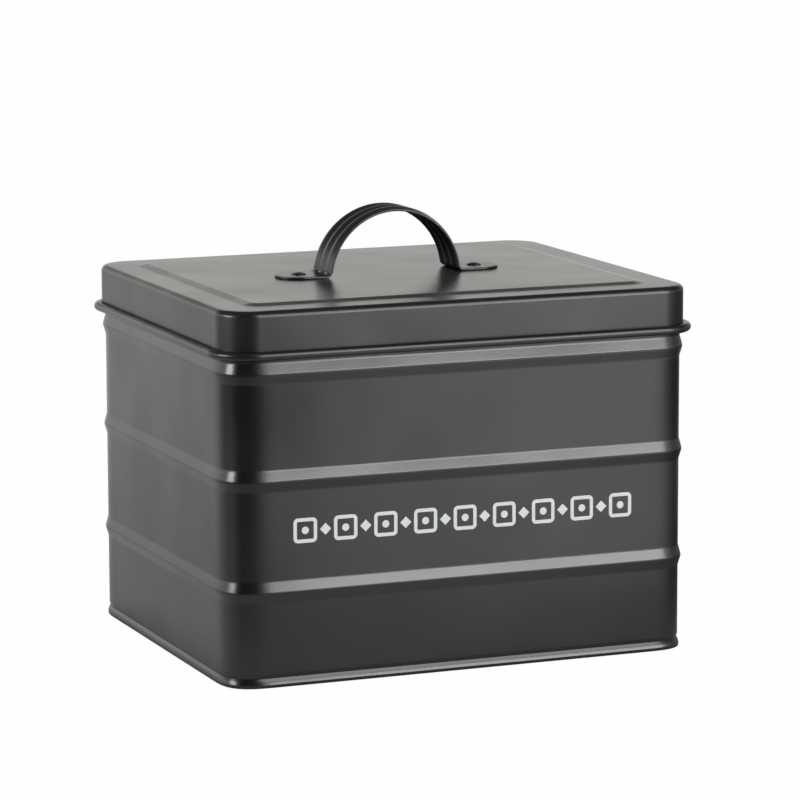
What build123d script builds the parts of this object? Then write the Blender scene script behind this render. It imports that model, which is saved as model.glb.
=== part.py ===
from build123d import *
import math
import os

# Sheet steel canister for washing tablets, with a lift-off lid and a strap handle.
# Origin: centre of the footprint, on the surface it stands on. +Z is up, and the front faces -Y.

# Body
body_width = 200
body_depth = 166
corner_radius = 13
wall_height = 150
sheet = 0.35

# Ribs rolled round the body
rib_height_shares = (0.305, 0.66, 1.0)
rib_lid_gap = 1.55
rib_reach = 1.25
rib_upper_run = 4.5
rib_lower_run = 4.0
rib_crest_radius = 1.0

# Hem folded in at the top of the wall
hem_width = 1.0
hem_length = 4.0
hem_fold_radius = 0.3

# Lock seam that closes the wall at the back
lock_width = 6.0

# Double seam that joins the base to the wall
seam_height = 3.4
seam_gap = 0.03
seam_neck = 0.45
seam_neck_run = 1.6
seam_hook_overlap = 1.6
seam_fold_radius = 0.3

# Base
base_height = 4.2
base_margin = 4.0

# Lid
lid_clearance = 0.75
lid_seat_gap = 0.3
lid_edge_radius = 1.8
lid_margin = 4.0
curl_diameter = 3.6
curl_drop = 17.4
curl_gap = 0.1

# Raised panel of the lid
panel_border = 13.7
panel_rise = 0.8
panel_slope_run = 3.8
panel_step_radius = 3.0
panel_step_margin = 1.0
panel_corner_radius = 4.0

# Strap handle
strap_width = 20.0
strap_sheet = 1.0
ridge_count = 3
ridge_rise = 0.9
arch_radius = 30.0
arch_rise = 28.2
foot_bend_radius = 2.0
rivet_reach = 39.2

# Rivets
rivet_shank_radius = 1.6
rivet_hole_clearance = 0.1
rivet_head_radius = 3.0
rivet_head_height = 1.0
rivet_head_rim = 0.3
rivet_tail_radius = 2.5
rivet_tail_height = 0.8
rivet_tail_chamfer = 0.3

# Heights and faces that more than one piece uses.
# An outward distance is measured from the wall's outer face.
lid_skirt_out = lid_clearance + sheet
lid_border_top = wall_height + lid_seat_gap + sheet
lid_panel_top = lid_border_top + panel_rise
foot_top = lid_panel_top + strap_sheet
curl_radius = curl_diameter / 2
curl_height = lid_border_top - curl_drop
top_rib_height = curl_height - curl_radius - rib_lid_gap - rib_upper_run
rib_heights = [share * top_rib_height for share in rib_height_shares]
neck_out = -seam_neck
cover_hook_out = neck_out + seam_gap
body_hook_out = neck_out + sheet + 2 * seam_gap
seam_out = body_hook_out + 2 * sheet + seam_gap
chuck_out = neck_out - 2 * sheet - seam_gap


def sheet_section(line):
    """Thicken a skin line to the sheet's section, on the line's right-hand side."""
    ahead = line % 0
    inside = line @ 0 + (ahead + ahead.rotate(Axis.Z, -90)) * (sheet / 2)
    sections = []
    for side in (Side.LEFT, Side.RIGHT):
        outline = offset(line, amount=sheet, kind=Kind.INTERSECTION, side=side, closed=True)
        sections.append(make_face(outline.edges()))
    return next(section for section in sections if section.face().is_inside(inside))


def plate(outward, height, thickness, width=body_width, depth=body_depth, radius=corner_radius):
    """Flat rounded plate whose edge lies outward of the given rounded rectangle."""
    outline = RectangleRounded(width + 2 * outward, depth + 2 * outward, radius + outward)
    return extrude(Pos(0, 0, height) * outline, amount=thickness)


def ring(section, width=body_width, depth=body_depth, radius=corner_radius):
    """Carry a section, drawn as (outward, up), round a rounded rectangle."""
    side_run = depth / 2 - radius
    front_run = width / 2 - radius
    side = Plane(origin=(width / 2, 0, 0), x_dir=(1, 0, 0), z_dir=(0, -1, 0))
    back = Plane(origin=(0, depth / 2, 0), x_dir=(0, 1, 0), z_dir=(1, 0, 0))
    turn = Plane(origin=(width / 2, side_run, 0), x_dir=(1, 0, 0), z_dir=(0, -1, 0))
    right_side = extrude(side * section, amount=side_run, both=True)
    back_side = extrude(back * section, amount=front_run, both=True)
    corner = revolve(turn * section, axis=Axis((front_run, side_run, 0), (0, 0, 1)), revolution_arc=90)
    right_half = right_side + corner + mirror(corner, Plane.XZ)
    return right_half + mirror(right_half, Plane.YZ) + back_side + mirror(back_side, Plane.XZ)


def wall_line():
    """Outer skin of the wall, from the hem's free edge down to the hook at the foot."""
    points = [(-hem_width, wall_height - hem_length), (-hem_width, wall_height), (0, wall_height)]
    radii = [hem_fold_radius, hem_fold_radius]
    for height in reversed(rib_heights):
        points += [(0, height + rib_upper_run), (rib_reach, height), (0, height - rib_lower_run)]
        radii += [0, rib_crest_radius, 0]
    foot = 2 * sheet + seam_gap
    points += [(0, seam_height + seam_neck_run), (neck_out, seam_height)]
    points += [(neck_out, foot), (body_hook_out, foot), (body_hook_out, foot + seam_hook_overlap)]
    radii += [0] * (len(points) - 2 - len(radii))
    return FilletPolyline(points, radius=radii)


def lock_seam(section):
    """Folded layers inside the wall, at the middle of the back."""
    top = wall_height - hem_length
    bottom = seam_height + seam_neck_run
    window = Pos(0, (top + bottom) / 2) * Rectangle(body_width, top - bottom)
    layers = Pos(-sheet, 0) * section + Pos(-2 * sheet, 0) * section
    back = Plane(origin=(0, body_depth / 2, 0), x_dir=(0, 1, 0), z_dir=(1, 0, 0))
    return extrude(back * (layers & window), amount=lock_width / 2, both=True)


def body_wall():
    """One wrapped sheet: hem, neck, ribs, lock seam and the hook of the base seam."""
    section = sheet_section(wall_line())
    return ring(section) + lock_seam(section)


def base_line():
    """Outer skin of the base, from the hook inside the double seam in to its flat."""
    hook_end = 2 * sheet + 2 * seam_gap
    points = [(cover_hook_out, hook_end), (cover_hook_out, seam_height), (seam_out, seam_height)]
    points += [(seam_out, 0), (chuck_out, 0), (chuck_out, base_height - sheet)]
    points += [(-base_margin, base_height - sheet)]
    return FilletPolyline(points, radius=[0, seam_fold_radius, seam_fold_radius, seam_fold_radius, 0])


def base_panel():
    """Pressed base whose edge wraps the wall's hook."""
    return ring(sheet_section(base_line())) + plate(-base_margin, base_height - sheet, sheet)


def lid_edge_section():
    """Border, rounded edge, skirt and outward curl of the lid."""
    skin_radius = curl_radius - sheet
    centre_out = lid_skirt_out + skin_radius
    end_angle = math.degrees(math.acos((lid_skirt_out + curl_gap - centre_out) / curl_radius))
    skirt = FilletPolyline(
        [(-lid_margin, lid_border_top), (lid_skirt_out, lid_border_top), (lid_skirt_out, curl_height)],
        radius=lid_edge_radius,
    )
    curl = CenterArc((centre_out, curl_height), skin_radius, start_angle=180, arc_size=180 + end_angle)
    return sheet_section(skirt) + sheet_section(curl)


def step_line():
    """Outer skin of the step between the lid's border and its raised panel."""
    points = [(-panel_step_margin, lid_panel_top), (0, lid_panel_top)]
    points += [(panel_slope_run, lid_border_top), (panel_slope_run + panel_step_margin, lid_border_top)]
    return FilletPolyline(points, radius=panel_step_radius)


def lid_shell():
    """Drawn lid in one sheet: raised panel, border, skirt and curled edge."""
    panel_inset = panel_border + panel_slope_run - lid_skirt_out
    width = body_width - 2 * panel_inset
    depth = body_depth - 2 * panel_inset
    panel = {"width": width, "depth": depth, "radius": panel_corner_radius}
    step_out = panel_slope_run + panel_step_margin
    border = plate(-lid_margin, lid_border_top - sheet, sheet)
    border -= plate(step_out, lid_border_top - sheet, sheet, **panel)
    raised = plate(-panel_step_margin, lid_panel_top - sheet, sheet, **panel)
    shell = ring(lid_edge_section()) + border
    shell += ring(sheet_section(step_line()), **panel)
    shell += raised
    return shell - rivet_holes()


def strap_outline(rise):
    """Section across the strap, drawn as (across, up), with ridges of the given rise."""
    pitch = strap_width / ridge_count
    starts = [-strap_width / 2 + index * pitch for index in range(ridge_count)]
    edges = []
    for level in (0, -strap_sheet):
        for start in starts:
            if rise:
                peak = (start + pitch / 2, level + rise)
                edges.append(ThreePointArc((start, level), peak, (start + pitch, level)).edge())
            else:
                edges.append(Line((start, level), (start + pitch, level)).edge())
    for across in (-strap_width / 2, strap_width / 2):
        edges.append(Line((across, 0), (across, -strap_sheet)).edge())
    return make_face(edges)


def strap_end():
    """Where the arch meets the bend of a foot: arch centre height, bend centre and lean angle."""
    valley_radius = arch_radius - ridge_rise
    centre_height = lid_panel_top + arch_rise - arch_radius
    bend_height = foot_top + foot_bend_radius
    lean = math.asin((bend_height - centre_height) / (valley_radius + foot_bend_radius))
    bend_out = (valley_radius + foot_bend_radius) * math.cos(lean)
    return centre_height, bend_out, bend_height, math.degrees(lean)


def handle_foot(bend_out):
    """Flat round-ended tab with its rivet hole."""
    tab = Pos(rivet_reach, 0) * Circle(strap_width / 2)
    tab += Pos((bend_out + rivet_reach) / 2, 0) * Rectangle(rivet_reach - bend_out, strap_width)
    tab -= Pos(rivet_reach, 0) * Circle(rivet_shank_radius + rivet_hole_clearance)
    return extrude(Pos(0, 0, lid_panel_top) * tab, amount=strap_sheet)


def handle():
    """Pressed strap in one piece: ridged arch, bends where the ridges run out, and flat feet."""
    centre_height, bend_out, bend_height, lean = strap_end()
    valley_radius = arch_radius - ridge_rise
    crown = Plane(origin=(0, 0, centre_height + valley_radius), x_dir=(0, 1, 0), z_dir=(1, 0, 0))
    ridged = strap_outline(ridge_rise)
    axis = Axis((0, 0, centre_height), (0, 1, 0))
    half_arch = revolve(crown * ridged, axis=axis, revolution_arc=90 - lean)
    bend_path = CenterArc((bend_out, bend_height), foot_bend_radius, start_angle=180 + lean, arc_size=90 - lean)
    bend_path = Plane.XZ * bend_path
    top_of_bend = bend_path @ 0
    leg_direction = bend_path % 0
    leg_end = Plane(origin=top_of_bend, x_dir=(0, 1, 0), z_dir=leg_direction)
    foot_start = Plane(origin=bend_path @ 1, x_dir=(0, 1, 0), z_dir=(1, 0, 0))
    bend = sweep([leg_end * ridged, foot_start * strap_outline(0)], path=bend_path, multisection=True)
    half = half_arch + bend + handle_foot(bend_out)
    return half + mirror(half, Plane.YZ)


def rivet_holes():
    """Two holes through the lid for the rivets."""
    hole = Cylinder(rivet_shank_radius + rivet_hole_clearance, 2 * sheet)
    return [Pos(side * rivet_reach, 0, lid_panel_top - sheet / 2) * hole for side in (-1, 1)]


def rivets():
    """Two low round-headed rivets, clenched under the lid."""
    grip = strap_sheet + sheet
    tail = -grip - rivet_tail_height
    points = [(0, tail), (rivet_tail_radius - rivet_tail_chamfer, tail)]
    points += [(rivet_tail_radius, tail + rivet_tail_chamfer), (rivet_tail_radius, -grip)]
    points += [(rivet_shank_radius, -grip), (rivet_shank_radius, 0)]
    points += [(rivet_head_radius, 0), (rivet_head_radius, rivet_head_rim)]
    dome_rise = rivet_head_height - rivet_head_rim
    dome_radius = (rivet_head_radius**2 + dome_rise**2) / (2 * dome_rise)
    dome = RadiusArc((rivet_head_radius, rivet_head_rim), (0, rivet_head_height), -dome_radius)
    outline = [*Polyline(points).edges(), dome.edge(), Line((0, rivet_head_height), points[0]).edge()]
    rivet = revolve(Plane.XZ * make_face(outline), axis=Axis.Z)
    return [Pos(side * rivet_reach, 0, foot_top) * rivet for side in (-1, 1)]


os.makedirs("parts", exist_ok=True)
export_step(body_wall(), "parts/body_wall.step")
export_step(base_panel(), "parts/base_panel.step")
export_step(lid_shell(), "parts/lid_shell.step")
export_step(handle(), "parts/handle.step")
export_step(Compound(children=rivets()), "parts/rivets.step")
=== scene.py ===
import math

import bpy
from mathutils import Matrix, Vector


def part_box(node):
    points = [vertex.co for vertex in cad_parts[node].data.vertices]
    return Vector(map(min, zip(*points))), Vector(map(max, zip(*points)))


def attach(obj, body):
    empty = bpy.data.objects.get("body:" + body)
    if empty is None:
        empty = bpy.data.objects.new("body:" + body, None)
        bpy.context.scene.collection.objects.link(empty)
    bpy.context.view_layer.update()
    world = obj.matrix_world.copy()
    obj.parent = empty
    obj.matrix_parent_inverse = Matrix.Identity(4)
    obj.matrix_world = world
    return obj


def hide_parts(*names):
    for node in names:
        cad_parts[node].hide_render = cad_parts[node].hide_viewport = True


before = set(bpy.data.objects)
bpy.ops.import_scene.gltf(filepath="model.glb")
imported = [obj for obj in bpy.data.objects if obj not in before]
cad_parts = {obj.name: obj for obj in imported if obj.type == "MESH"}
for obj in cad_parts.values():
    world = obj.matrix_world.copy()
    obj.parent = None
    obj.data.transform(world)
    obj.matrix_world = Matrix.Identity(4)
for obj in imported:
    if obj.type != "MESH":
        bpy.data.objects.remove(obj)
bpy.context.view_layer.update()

# Everything is in metres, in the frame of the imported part: +Z is up and the front faces -Y.
wall_low, wall_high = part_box("body_wall")
base_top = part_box("base_panel")[1].z
lid_low, lid_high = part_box("lid_shell")
handle_low, handle_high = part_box("handle")
rivet_low, rivet_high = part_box("rivets")

# Smoothness of the meshes, and the limit on how far a sharp fold's offset point moves
corner_steps = 24
corner_substeps = 20
arc_step = math.radians(7.5)
fold_angle = math.radians(35)
least_arc_steps = 2
least_fold_spread = 0.5

# Sheet steel body
sheet = 0.00035
corner_reach = 0.0220
corner_bend_power = 2.3
rib_reach = 0.00125
rib_upper_run = 0.0045
rib_lower_run = 0.0040
rib_crest_radius = 0.0024
rib_root_radius = 0.0040
rib_height_shares = (0.305, 0.66, 1.0)
rib_lid_gap = 0.00155
hem_width = 0.0010
hem_length = 0.0040
hem_fold_radius = 0.0005

# Lock seam down the middle of the back
groove_width = 0.0007
groove_depth = 0.00015
groove_floor_share = 0.5
lock_width = 0.0060
lock_thickness = 2 * sheet

# Double seam at the foot: a bead that flares towards the floor
seam_height = 0.0038
seam_gap = 0.00003
seam_neck = 0.00045
seam_neck_run = 0.0016
seam_neck_radius = 0.0008
bead_top_out = -0.00030
bead_top_radii = (0.00003, 0.00010)
bead_waist = (0.00027, 0.00255)
bead_waist_radius = 0.0040
bead_foot = (0.00062, 0.0013)
bead_foot_radius = 0.0003
seam_foot_out = 0.00048
seam_foot_radius = 0.0002
base_bend_radii = (0.0012, 0.0004)
base_margin = 0.0040

# Lid
lid_corner_radius = 0.0130
lid_clearance = 0.00075
lid_edge_radius = 0.00245
lid_margin = 0.0040
curl_diameter = 0.0036
curl_gap = 0.0001
panel_border = 0.0137
panel_rise = 0.0008
panel_slope_run = 0.0038
panel_step_radius = 0.0030
panel_step_margin = 0.0010
panel_corner_radius = 0.0040

# Strap handle
strap_sheet = 0.0010
strap_edge_radius = 0.0003
ridge_count = 3
ridge_rise = 0.0009
arch_radius = 0.0300
foot_bend_radius = 0.0020
arch_steps = 96
bend_steps = 12
foot_steps = 10
tip_steps = 14
tip_turn = math.radians(89)
ridge_steps = 12
edge_steps = 4

# Rivets
rivet_head_rim = 0.0003
rivet_rim_radius = 0.0002
rivet_shank_share = 0.5
rivet_tail_share = 0.83
rivet_turns = 48
dome_steps = 8

# Sizes that follow from the frame
body_half_x = wall_high.x - rib_reach
body_half_y = wall_high.y - rib_reach
wall_top = wall_high.z
skirt_out = lid_clearance + sheet
lid_top = lid_high.z
border_top = lid_top - panel_rise
curl_radius = curl_diameter / 2
curl_height = lid_low.z + curl_radius
top_rib = lid_low.z - rib_lid_gap - rib_upper_run
rib_heights = [share * top_rib for share in rib_height_shares]
panel_inset = panel_border + panel_slope_run - skirt_out
neck_out = -seam_neck
cover_hook_out = neck_out + seam_gap
chuck_out = neck_out - 2 * sheet - seam_gap
strap_width = handle_high.y - handle_low.y
tip_radius = strap_width / 2
tip_centre = handle_high.x - tip_radius
rivet_head_radius = rivet_high.y
rivet_reach = rivet_high.x - rivet_head_radius
foot_top = lid_top + strap_sheet
rivet_head_height = rivet_high.z - foot_top

# Print on the front, between the two lower ribs
print_centre_height = 0.0624
print_half_length = 0.0735
print_lift = 0.00002
print_film = 0.00003
tablet_count = 9
tablet_half = 0.0050
tablet_corner = 0.0019
tablet_stroke = 0.00145
core_radius = 0.0015
diamond_half = 0.0024
motif_turns = 48

# Paint and ink: colours, roughness from smooth to rough, and the textures' scales and depths
paint_black = (0.0072, 0.0072, 0.0069, 1)
paint_grey = (0.0090, 0.0090, 0.0086, 1)
paint_ior = 1.65
wall_roughness = (0.22, 0.27)
lid_roughness = (0.28, 0.32)
handle_roughness = (0.30, 0.36)
peel_scale, peel_detail, peel_strength, peel_depth = 900, 3, 0.08, 0.0002
wave_scale, wave_detail, wave_strength, wave_depth = 22, 1, 1.0, 0.0009
ink_cool = (0.88, 0.93, 0.95, 1)
ink_white = (0.93, 0.97, 0.98, 1)
ink_roughness = 0.5
grain_scale, grain_detail = 700, 2

# Camera, fitted to the edges of the photograph: degrees, focal length in pixels, sensor in mm
camera_azimuth = -22.1177
camera_elevation = 9.4349
camera_roll = 0.1605
camera_place = (-0.629738, -1.563516, 0.377468)
camera_focal_length = 4089.264
camera_sensor = 36
camera_clip = (0.1, 60)
image_width = 800

# Floor: white to the camera, and in reflections a glow whose level changes over it, painted light and
# shade
floor_reach = 12.0
floor_white = 0.99
floor_matt = (0.8, 0.8, 0.8, 1)
floor_tint = (1.0, 0.998, 0.972, 1)
# Reach of the painted contact shade that ambient occlusion puts on the floor's glow round the object
contact_reach = 0.03
# The floor's glow in reflections is painted light: dimmer near the object and towards the left and right
glow_near, glow_far = 0.56, 0.98
glow_start, glow_end = 0.12, 0.85
left_start, left_end, left_level = -0.10, -0.30, 0.80
right_start, right_end, right_level = 0.12, 0.35, 0.4
# A painted pool of light added to the glow: place, full within, gone beyond, gain
painted_light_pool = (0.36, -0.80, 0)
bright_inner, bright_outer, bright_gain = 0.12, 0.80, 1.45
# Painted shade on the floor's glow in reflections, darker patches: place, full within, gone beyond, level
painted_shade_spots = (
    ((-0.71, -1.09, 0), 0.84, 1.10, 0.04),
    ((-0.40, -1.60, 0), 0.90, 1.05, 0.05),
    ((-1.15, 0.05, 0), 0.55, 0.95, 0.30),
    ((-0.17, -0.25, 0), 0.08, 0.22, 0.60),
    ((0.26, -0.04, 0), 0.08, 0.24, 0.25),
    ((1.60, -0.30, 0), 1.00, 1.25, 0.15),
)

# Surroundings in reflections: azimuth, elevation, from and to (cosines), level at each
world_white = (1, 1, 1, 1)
world_tint = (1.0, 0.982, 0.950, 1)
world_parts = (
    (0, 90, 0.19, 0.44, 1.12, 0.16),
    (-27, 3, 0.70, 0.80, 1.0, 0.04),
    (100, 0, 0.70, 0.87, 1.0, 0.35),
    (158, 6, 0.75, 0.95, 1.0, 1.12),
)

# Soft lamps: azimuth, elevation, width, height, radiance
lamp_distance = 2.0
lamps = {
    "key_softbox": (28, 10.9, 1.1, 0.43, 7.4),
    "upper_softbox": (24, 31, 1.1, 0.55, 4.0),
    "left_softbox": (-89, 16, 0.9, 0.42, 10),
}


# Outlines

def rounded(points, radii):
    """Points along an open line whose inner corners are rounded with arcs."""
    line = [Vector(points[0])]
    for before, corner, after, radius in zip(points, points[1:], points[2:], radii):
        corner = Vector(corner)
        back = (Vector(before) - corner).normalized()
        ahead = (Vector(after) - corner).normalized()
        turn = math.pi - back.angle(ahead)
        reach = radius * math.tan(turn / 2)
        centre = corner + (back + ahead).normalized() * radius / math.cos(turn / 2)
        spoke = corner + back * reach - centre
        sense = 1 if ahead.x * back.y - ahead.y * back.x > 0 else -1
        steps = max(least_arc_steps, math.ceil(turn / arc_step))
        line += [centre + turned(spoke, sense * turn * step / steps) for step in range(steps + 1)]
    line.append(Vector(points[-1]))
    return line


def turned(spoke, angle):
    """A flat vector turned anticlockwise."""
    cosine, sine = math.cos(angle), math.sin(angle)
    return Vector((spoke.x * cosine - spoke.y * sine, spoke.x * sine + spoke.y * cosine))


def beside(line, distance):
    """The same open line, moved sideways to its right by the distance."""
    ways = [(after - before).normalized() for before, after in zip(line, line[1:])]
    moved = []
    for point, into, out in zip(line, ways[:1] + ways, ways + ways[-1:]):
        normal = Vector((into.y + out.y, -into.x - out.x)).normalized()
        spread = normal.dot(Vector((into.y, -into.x)))
        moved.append(point + normal * distance / max(spread, least_fold_spread))
    return moved


def arc_corner(radius):
    """Places from the sharp corner, and outward angles, along a corner bent to one radius."""
    angles = [math.pi / 2 * step / corner_steps for step in range(corner_steps + 1)]
    return [(radius * Vector((math.cos(a) - 1, math.sin(a) - 1)), a) for a in angles]


def soft_corner(reach):
    """The same for a corner whose bend builds up and fades out smoothly along the wall."""
    place = Vector((0, 0))
    places = [(place.copy(), 0)]
    count = corner_steps * corner_substeps

    def bend(share):
        ahead, behind = share**corner_bend_power, (1 - share) ** corner_bend_power
        return math.pi / 2 * ahead / (ahead + behind)

    for step in range(1, count + 1):
        angle = bend((step - 0.5) / count)
        place += Vector((-math.sin(angle), math.cos(angle)))
        if step % corner_substeps == 0:
            places.append((place.copy(), bend(step / count)))
    scale = reach / place.y
    return [(Vector((point.x * scale, point.y * scale - reach)), angle) for point, angle in places]


def rounded_rectangle(half_x, half_y, corner, out, height, groove=0):
    """Points round a rectangle, moved outwards, with a groove in the middle of its back."""
    points = []
    for quarter, (side_x, side_y) in enumerate(((1, 1), (-1, 1), (-1, -1), (1, -1))):
        turn = math.pi / 2 * quarter
        for offset, angle in corner:
            flat = turned(offset, turn) + turned(Vector((out, 0)), turn + angle)
            points.append(Vector((side_x * half_x + flat.x, side_y * half_y + flat.y, height)))
        if quarter == 0:
            for share in (1, groove_floor_share, -groove_floor_share, -1):
                depth = groove if abs(share) < 1 else 0
                points.append(Vector((share * groove_width / 2, half_y + out - depth, height)))
    return points


def body_loop(point, groove=0):
    """Loop round the wall through a point of its section, as (out, up)."""
    return rounded_rectangle(body_half_x, body_half_y, wall_corner, point[0], point[1], groove)


def lid_loop(point):
    """The same round the lid's edge and skirt."""
    return rounded_rectangle(body_half_x, body_half_y, lid_corner, point[0], point[1])


def panel_loop(point):
    """The same round the lid's raised panel."""
    half_x, half_y = body_half_x - panel_inset, body_half_y - panel_inset
    return rounded_rectangle(half_x, half_y, panel_corner, point[0], point[1])


wall_corner = soft_corner(corner_reach)
lid_corner = arc_corner(lid_corner_radius)
panel_corner = arc_corner(panel_corner_radius)


# Mesh helpers

def new_piece(name, points, faces, body, material):
    """Mesh object with smooth faces and sharp folds, carried by a body of the frame."""
    mesh = bpy.data.meshes.new(name)
    mesh.from_pydata([tuple(point) for point in points], [], faces)
    mesh.validate()
    mesh.shade_smooth()
    mesh.set_sharp_from_angle(angle=fold_angle)
    mesh.materials.append(material)
    piece = bpy.data.objects.new(name, mesh)
    bpy.context.scene.collection.objects.link(piece)
    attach(piece, body)
    return piece


def skin(loops, closed=False, capped=False):
    """Points and faces of the quads between equal loops, joined end to end or capped."""
    count = len(loops[0])
    points = [point for one in loops for point in one]
    faces = []
    for row in range(len(loops) if closed else len(loops) - 1):
        this = row * count
        other = (row + 1) % len(loops) * count
        for index in range(count):
            after = (index + 1) % count
            faces.append((this + index, other + index, other + after, this + after))
    if capped:
        faces.append(tuple(range(count)))
        faces.append(tuple(reversed(range(len(points) - count, len(points)))))
    return points, faces


# Body

def wall_line():
    """Outer skin of the wall, as (out, up), from the hem's free edge down to the foot."""
    points = [(-hem_width, wall_top - hem_length), (-hem_width, wall_top), (0, wall_top)]
    radii = [hem_fold_radius, hem_fold_radius]
    for height in reversed(rib_heights):
        points += [(0, height + rib_upper_run), (rib_reach, height), (0, height - rib_lower_run)]
        radii += [rib_root_radius, rib_crest_radius, rib_root_radius]
    points += [(0, seam_height + seam_neck_run), (neck_out, seam_height), (neck_out, wall_low.z)]
    radii += [seam_neck_radius, seam_neck_radius]
    return rounded(points, radii)


def make_wall(material):
    """One wrapped sheet with its hem, ribs and foot."""
    line = wall_line()
    outline = line + list(reversed(beside(line, sheet)))
    loops = [body_loop(point, groove_depth) for point in outline]
    wall = new_piece("wall", *skin(loops, closed=True), "canister", material)
    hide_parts("body_wall")


def make_lock_seam(material):
    """Folded layers of the lock seam, inside the back of the wall."""
    high, low = wall_top - hem_length, seam_height + seam_neck_run
    inner = beside(wall_line(), sheet)
    line = [point for point in inner if low < point.y < high and point.x > -lock_thickness]
    line = [Vector((line[0].x, high))] + line + [Vector((line[-1].x, low))]
    loops = []
    for out_skin, in_skin in zip(line, beside(line, lock_thickness)):
        loops.append([
            Vector((side * lock_width / 2, body_half_y + point.x, point.y))
            for side, point in ((1, out_skin), (-1, out_skin), (-1, in_skin), (1, in_skin))
        ])
    fold = new_piece("lock_seam_fold", *skin(loops, capped=True), "canister", material)


def make_base(material):
    """Recessed base whose seam bead wraps the foot of the wall."""
    flat = base_top - sheet
    under = [(cover_hook_out, sheet), (cover_hook_out, seam_height), (bead_top_out, seam_height)]
    under += [bead_waist, bead_foot, (seam_foot_out, 0), (chuck_out, 0)]
    under += [(chuck_out, flat), (-base_margin, flat)]
    radii = [*bead_top_radii, bead_waist_radius, bead_foot_radius, seam_foot_radius, seam_foot_radius]
    under = rounded(under, [*radii, base_bend_radii[0]])
    over = [(-base_margin, base_top), (chuck_out + sheet, base_top), (chuck_out + sheet, sheet)]
    over = rounded(over, [base_bend_radii[1]])
    loops = [body_loop(point) for point in over + under]
    base = new_piece("base", *skin(loops, capped=True), "canister", material)
    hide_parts("base_panel")


# Lid

def make_lid(material):
    """One drawn sheet: raised panel, step, border, rounded edge, skirt and curled rim."""
    step = rounded(
        [
            (-panel_step_margin, lid_top),
            (0, lid_top),
            (panel_slope_run, border_top),
            (panel_slope_run + panel_step_margin, border_top),
        ],
        [panel_step_radius, panel_step_radius],
    )
    edge = rounded(
        [(-lid_margin, border_top), (skirt_out, border_top), (skirt_out, curl_height)],
        [lid_edge_radius],
    )
    roll_radius = curl_radius - sheet
    roll_centre = Vector((skirt_out + roll_radius, curl_height))
    roll_turn = math.pi + math.acos((curl_gap - roll_radius) / curl_radius)
    roll_steps = math.ceil(roll_turn / arc_step)
    spoke = Vector((-roll_radius, 0))
    for index in range(1, roll_steps + 1):
        edge.append(roll_centre + turned(spoke, roll_turn * index / roll_steps))
    loops = [panel_loop(point) for point in step] + [lid_loop(point) for point in edge]
    loops += [lid_loop(point) for point in reversed(beside(edge, sheet))]
    loops += [panel_loop(point) for point in reversed(beside(step, sheet))]
    lid = new_piece("lid", *skin(loops, capped=True), "lid", material)
    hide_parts("lid_shell")


# Handle

def strap_route():
    """Places along half the strap: (out, up, lean, ridge share, distance past the tip's centre)."""
    centre_height = handle_high.z - arch_radius
    valley_radius = arch_radius - ridge_rise
    bend_height = foot_top + foot_bend_radius
    lean = math.asin((bend_height - centre_height) / (valley_radius + foot_bend_radius))
    bend_out = (valley_radius + foot_bend_radius) * math.cos(lean)
    route = []
    for step in range(arch_steps // 2 + 1):
        angle = math.pi / 2 - (math.pi / 2 - lean) * step / (arch_steps // 2)
        place = Vector((math.cos(angle), math.sin(angle))) * valley_radius
        route.append((place.x, centre_height + place.y, angle, 1, 0))
    for step in range(1, bend_steps + 1):
        share = step / bend_steps
        angle = math.pi + lean + (math.pi / 2 - lean) * share
        out = bend_out + foot_bend_radius * math.cos(angle)
        up = bend_height + foot_bend_radius * math.sin(angle)
        fade = 0.5 + 0.5 * math.cos(math.pi * share)
        route.append((out, up, angle - math.pi, fade, 0))
    for step in range(1, foot_steps + 1):
        out = bend_out + (tip_centre - bend_out) * step / foot_steps
        route.append((out, foot_top, math.pi / 2, 0, 0))
    for step in range(1, tip_steps + 1):
        past = tip_radius * math.sin(tip_turn * step / tip_steps)
        route.append((tip_centre + past, foot_top, math.pi / 2, 0, past))
    return route


def strap_section(ridge_share, past):
    """Closed section across the strap, as (across, up), with rounded edges and a round tip."""
    half = strap_width / 2
    width = math.sqrt(half**2 - past**2)
    ridge_half = half / ridge_count
    skin_steps = ridge_count * ridge_steps
    corner = [math.pi / 2 * step / edge_steps for step in range(edge_steps + 1)]
    rim = [1 - strap_edge_radius / half * (1 - math.sin(angle)) for angle in corner]
    shares = [2 * step / skin_steps - 1 for step in range(1, skin_steps)]
    shares = [-share for share in reversed(rim)] + shares + rim
    top, under = [], []
    for share in shares:
        offset = (share * half + half) % (2 * ridge_half) - ridge_half
        ridge = ridge_share * ridge_rise * (0.5 + 0.5 * math.cos(math.pi * offset / ridge_half))
        inside = min(half - math.hypot(share * width, past), strap_edge_radius)
        drop = strap_edge_radius - math.sqrt(strap_edge_radius**2 - (strap_edge_radius - inside) ** 2)
        top.append((share * width, ridge - drop))
        under.append((share * width, ridge - strap_sheet + drop))
    return top + under[::-1]


def make_handle(material):
    """Pressed strap: three ridges over the arch run out into flat round-ended feet."""
    route = strap_route()
    mirrored = [(-out, up, math.pi - angle, share, past) for out, up, angle, share, past in route[1:]]
    loops = []
    for out, up, angle, share, past in list(reversed(mirrored)) + route:
        normal = Vector((math.cos(angle), 0, math.sin(angle)))
        place = Vector((out, 0, up))
        section = strap_section(share, past)
        loops.append([place + normal * height + Vector((0, across, 0)) for across, height in section])
    handle = new_piece("strap_handle", *skin(loops, capped=True), "lid", material)
    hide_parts("handle")


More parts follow.
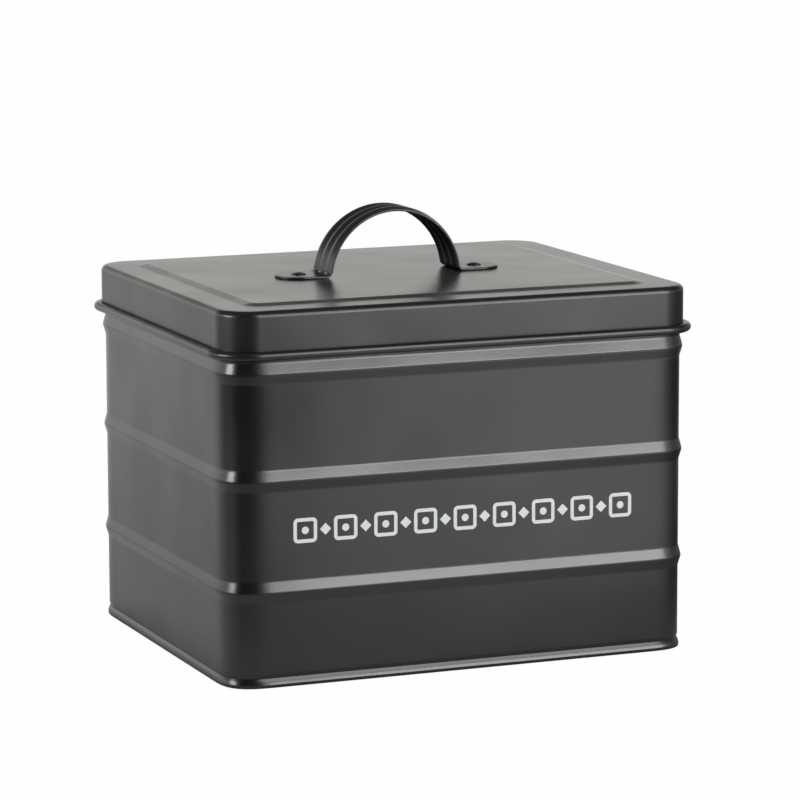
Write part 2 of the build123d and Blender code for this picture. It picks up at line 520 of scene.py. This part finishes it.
def make_rivets(material):
    """Low round heads on the feet, clenched under the lid."""
    shank = rivet_head_radius * rivet_shank_share
    tail = rivet_head_radius * rivet_tail_share
    crown = rivet_head_height - rivet_head_rim
    bow = (rivet_head_radius**2 + crown**2) / (2 * crown)
    lean = math.asin(rivet_head_radius / bow)
    profile = []
    for step in range(1, dome_steps + 1):
        angle = lean * step / dome_steps
        profile.append((bow * math.sin(angle), rivet_high.z - bow + bow * math.cos(angle)))
    profile += [(rivet_head_radius, foot_top), (shank, foot_top), (shank, lid_top - sheet)]
    profile += [(tail, lid_top - sheet), (tail, rivet_low.z + rivet_rim_radius)]
    profile += [(tail - rivet_rim_radius, rivet_low.z)]
    for name, side in (("rivet_left", -1), ("rivet_right", 1)):
        loops = []
        for radius, height in profile:
            ring = ring_points((side * rivet_reach, 0), radius, rivet_turns)
            loops.append([Vector((x, y, height)) for x, y in ring])
        rivet = new_piece(name, *skin(loops, capped=True), "lid", material)
        if side == 1:
            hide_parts("rivets")


# Print

def ring_points(centre, radius, turns=motif_turns):
    """Outline of a circle."""
    spokes = [2 * math.pi * turn / turns for turn in range(turns)]
    return [(centre[0] + radius * math.cos(a), centre[1] + radius * math.sin(a)) for a in spokes]


def tablet_points(centre, half, radius):
    """Outline of a square tablet with rounded corners."""
    points = []
    for turn in range(motif_turns):
        angle = 2 * math.pi * (turn + 0.5) / motif_turns
        side_x = math.copysign(half - radius, math.cos(angle))
        side_z = math.copysign(half - radius, math.sin(angle))
        points.append((
            centre[0] + side_x + radius * math.cos(angle),
            centre[1] + side_z + radius * math.sin(angle),
        ))
    return points


def diamond_points(centre, half):
    """Outline of a square that stands on a corner."""
    steps = ((half, 0), (0, half), (-half, 0), (0, -half))
    return [(centre[0] + x, centre[1] + z) for x, z in steps]


def film(outer, inner=None):
    """Thin printed shape on the front wall, between two outlines or full."""
    back = -body_half_y - print_lift
    front = back - print_film
    rings = [(outer, front), (outer, back)]
    if inner:
        rings += [(inner, back), (inner, front)]
    loops = [[Vector((x, depth, z)) for x, z in outline] for outline, depth in rings]
    return skin(loops, closed=bool(inner), capped=not inner)


def make_print(material):
    """Plain row of square tablets with diamonds between them."""
    pitch = 2 * (print_half_length - tablet_half) / (tablet_count - 1)
    shapes = []
    for index in range(tablet_count):
        centre = (-print_half_length + tablet_half + index * pitch, print_centre_height)
        inner = tablet_points(centre, tablet_half - tablet_stroke, tablet_corner - tablet_stroke)
        shapes.append(film(tablet_points(centre, tablet_half, tablet_corner), inner))
        shapes.append(film(ring_points(centre, core_radius)))
        if index:
            shapes.append(film(diamond_points((centre[0] - pitch / 2, centre[1]), diamond_half)))
    points, faces = [], []
    for shape_points, shape_faces in shapes:
        first = len(points)
        points += shape_points
        faces += [tuple(first + corner for corner in face) for face in shape_faces]
    row = new_piece("front_print", points, faces, "canister", material)


# Materials

def new_material(name):
    """Material with its nodes, its links and its shader."""
    material = bpy.data.materials.new(name)
    material.use_nodes = True
    nodes = material.node_tree.nodes
    return material, nodes, material.node_tree.links, nodes["Principled BSDF"]


def noise(nodes, links, scale, detail):
    """Noise that stays fixed to its piece."""
    place = nodes.new("ShaderNodeTexCoord")
    texture = nodes.new("ShaderNodeTexNoise")
    texture.inputs["Scale"].default_value = scale
    texture.inputs["Detail"].default_value = detail
    links.new(place.outputs["Object"], texture.inputs["Vector"])
    return texture.outputs["Fac"]


def colour_by(nodes, links, value, low, high, shader):
    """Base colour of the shader that changes with a value between two colours."""
    tone = nodes.new("ShaderNodeValToRGB")
    tone.color_ramp.elements[0].color = low
    tone.color_ramp.elements[1].color = high
    links.new(value, tone.inputs["Fac"])
    links.new(tone.outputs["Color"], shader.inputs["Base Color"])


def satin_paint(name, roughness):
    """Satin black paint with a fine orange peel and a faint unevenness of tone and gloss."""
    material, nodes, links, shader = new_material(name)
    peel = noise(nodes, links, peel_scale, peel_detail)
    wave = noise(nodes, links, wave_scale, wave_detail)
    colour_by(nodes, links, wave, paint_black, paint_grey, shader)
    gloss = nodes.new("ShaderNodeMapRange")
    gloss.inputs["To Min"].default_value, gloss.inputs["To Max"].default_value = roughness
    links.new(wave, gloss.inputs["Value"])
    links.new(gloss.outputs["Result"], shader.inputs["Roughness"])
    normal = shader.inputs["Normal"]
    for texture, strength, depth in ((peel, peel_strength, peel_depth), (wave, wave_strength, wave_depth)):
        bump = nodes.new("ShaderNodeBump")
        bump.inputs["Strength"].default_value = strength
        bump.inputs["Distance"].default_value = depth
        links.new(texture, bump.inputs["Height"])
        links.new(bump.outputs["Normal"], normal)
        normal = bump.inputs["Normal"]
    shader.inputs["IOR"].default_value = paint_ior
    return material


def print_ink(name):
    """Matt white ink with a fine grain."""
    material, nodes, links, shader = new_material(name)
    grain = noise(nodes, links, grain_scale, grain_detail)
    colour_by(nodes, links, grain, ink_cool, ink_white, shader)
    shader.inputs["Roughness"].default_value = ink_roughness
    return material


# Studio

def band(nodes, links, value, low, high, at_low, at_high):
    """Value that passes smoothly from one level to another between two limits."""
    ramp = nodes.new("ShaderNodeMapRange")
    ramp.interpolation_type = "SMOOTHSTEP"
    ramp.inputs["From Min"].default_value = low
    ramp.inputs["From Max"].default_value = high
    ramp.inputs["To Min"].default_value = at_low
    ramp.inputs["To Max"].default_value = at_high
    links.new(value, ramp.inputs["Value"])
    return ramp.outputs["Result"]


def combined(nodes, links, operation, first, second):
    """Math of two values, each a socket or a number."""
    node = nodes.new("ShaderNodeMath")
    node.operation = operation
    for value, socket in ((first, node.inputs[0]), (second, node.inputs[1])):
        if isinstance(value, float):
            socket.default_value = value
        else:
            links.new(value, socket)
    return node.outputs[0]


def product(nodes, links, factors):
    """All the values multiplied."""
    level = factors[0]
    for factor in factors[1:]:
        level = combined(nodes, links, "MULTIPLY", level, factor)
    return level


def white_floor():
    """Pale floor: white to the camera, and in reflections an uneven glow, as in a studio, with painted
    light and shade.
    """
    mesh = bpy.data.meshes.new("floor")
    corners = [(-floor_reach, -floor_reach, 0), (floor_reach, -floor_reach, 0)]
    corners += [(floor_reach, floor_reach, 0), (-floor_reach, floor_reach, 0)]
    mesh.from_pydata(corners, [], [(0, 1, 2, 3)])
    floor = bpy.data.objects.new("floor", mesh)
    bpy.context.scene.collection.objects.link(floor)
    material = bpy.data.materials.new("floor_paper")
    material.use_nodes = True
    nodes, links = material.node_tree.nodes, material.node_tree.links
    nodes.remove(nodes["Principled BSDF"])
    place = nodes.new("ShaderNodeTexCoord")

    def distance(point):
        node = nodes.new("ShaderNodeVectorMath")
        node.operation = "DISTANCE"
        node.inputs[1].default_value = point
        links.new(place.outputs["Object"], node.inputs[0])
        return node.outputs["Value"]

    across = nodes.new("ShaderNodeSeparateXYZ")
    links.new(place.outputs["Object"], across.inputs[0])
    # Painted contact shade: ambient occlusion darkens the floor's glow round the object
    contact = nodes.new("ShaderNodeAmbientOcclusion")
    contact.inputs["Distance"].default_value = contact_reach
    # Painted light and shade in the glow: dimmer near the object and at the sides, a painted pool of light
    # and painted shaded patches
    glow = product(nodes, links, [
        band(nodes, links, distance((0, 0, 0)), glow_start, glow_end, glow_near, glow_far),
        band(nodes, links, across.outputs["X"], left_start, left_end, 1, left_level),
        band(nodes, links, across.outputs["X"], right_start, right_end, 1, right_level),
    ])
    bright = band(nodes, links, distance(painted_light_pool), bright_inner, bright_outer, bright_gain, 0)
    lit = combined(nodes, links, "ADD", glow, bright)
    shades = [
        band(nodes, links, distance(spot), inner, outer, shade, 1)
        for spot, inner, outer, shade in painted_shade_spots
    ]
    level = product(nodes, links, [lit, *shades, contact.outputs["AO"]])
    path = nodes.new("ShaderNodeLightPath")
    rays = (path.outputs["Is Glossy Ray"], path.outputs["Is Transmission Ray"])
    seen = combined(nodes, links, "MAXIMUM", *rays)
    glossy = nodes.new("ShaderNodeEmission")
    glossy.inputs["Color"].default_value = floor_tint
    links.new(level, glossy.inputs["Strength"])
    matt = nodes.new("ShaderNodeBsdfDiffuse")
    matt.inputs["Color"].default_value = floor_matt
    white = nodes.new("ShaderNodeEmission")
    plain = nodes.new("ShaderNodeMixShader")
    links.new(seen, plain.inputs["Fac"])
    links.new(matt.outputs[0], plain.inputs[1])
    links.new(glossy.outputs[0], plain.inputs[2])
    share = combined(nodes, links, "MULTIPLY", path.outputs["Is Camera Ray"], floor_white)
    paper = nodes.new("ShaderNodeMixShader")
    links.new(share, paper.inputs["Fac"])
    links.new(plain.outputs[0], paper.inputs[1])
    links.new(white.outputs[0], paper.inputs[2])
    links.new(paper.outputs[0], nodes["Material Output"].inputs["Surface"])
    mesh.materials.append(material)


def heading(azimuth, elevation):
    """Direction towards a place round the object; azimuth 0 is the front and 90 the right."""
    a, e = math.radians(azimuth), math.radians(elevation)
    return Vector((math.sin(a) * math.cos(e), -math.cos(a) * math.cos(e), math.sin(e)))


def studio_world():
    """White to the camera. In reflections pale, brighter behind, dark above, in front and at the right."""
    world = bpy.data.worlds.new("studio")
    world.use_nodes = True
    bpy.context.scene.world = world
    nodes, links = world.node_tree.nodes, world.node_tree.links
    nodes.clear()
    place = nodes.new("ShaderNodeTexCoord")
    parts = []
    for azimuth, elevation, *limits in world_parts:
        along = nodes.new("ShaderNodeVectorMath")
        along.operation = "DOT_PRODUCT"
        along.inputs[1].default_value = heading(azimuth, elevation)
        links.new(place.outputs["Generated"], along.inputs[0])
        parts.append(band(nodes, links, along.outputs["Value"], *limits))
    studio = nodes.new("ShaderNodeBackground")
    studio.inputs["Color"].default_value = world_tint
    links.new(product(nodes, links, parts), studio.inputs["Strength"])
    white = nodes.new("ShaderNodeBackground")
    white.inputs["Color"].default_value = world_white
    path = nodes.new("ShaderNodeLightPath")
    mix = nodes.new("ShaderNodeMixShader")
    out = nodes.new("ShaderNodeOutputWorld")
    links.new(path.outputs["Is Camera Ray"], mix.inputs["Fac"])
    links.new(studio.outputs[0], mix.inputs[1])
    links.new(white.outputs[0], mix.inputs[2])
    links.new(mix.outputs[0], out.inputs["Surface"])


def softbox(name, azimuth, elevation, width, height, radiance):
    """Soft rectangular lamp that faces the middle of the object."""
    direction = heading(azimuth, elevation)
    lamp = bpy.data.lights.new(name, "AREA")
    lamp.shape = "RECTANGLE"
    lamp.size, lamp.size_y = width, height
    lamp.energy = radiance * math.pi * width * height
    holder = bpy.data.objects.new(name, lamp)
    target = Vector((0, 0, (wall_top + wall_low.z) / 2))
    holder.location = target + direction * lamp_distance
    holder.rotation_mode = "QUATERNION"
    holder.rotation_quaternion = direction.to_track_quat("Z", "Y")
    holder.visible_camera = False
    bpy.context.scene.collection.objects.link(holder)


def place_camera():
    """Camera at the photograph's viewpoint."""
    camera = bpy.data.cameras.new("camera")
    camera.sensor_width = camera_sensor
    camera.lens = camera_sensor * camera_focal_length / image_width
    camera.clip_start, camera.clip_end = camera_clip
    holder = bpy.data.objects.new("camera", camera)
    back = heading(camera_azimuth, camera_elevation)
    right = heading(camera_azimuth + 90, 0)
    up = back.cross(right)
    turn = Matrix.Rotation(-math.radians(camera_roll), 3, back)
    axes = Matrix((turn @ right, turn @ up, back)).transposed()
    holder.matrix_world = Matrix.Translation(camera_place) @ axes.to_4x4()
    bpy.context.scene.collection.objects.link(holder)
    bpy.context.scene.camera = holder


bpy.context.scene.view_settings.view_transform = "Standard"
wall_paint = satin_paint("wall_satin_paint", wall_roughness)
lid_paint = satin_paint("lid_satin_paint", lid_roughness)
handle_paint = satin_paint("handle_satin_paint", handle_roughness)
ink = print_ink("print_ink")
make_wall(wall_paint)
make_lock_seam(wall_paint)
make_base(wall_paint)
make_lid(lid_paint)
make_handle(handle_paint)
make_rivets(handle_paint)
make_print(ink)
white_floor()
studio_world()
for lamp_name, values in lamps.items():
    softbox(lamp_name, *values)
place_camera()
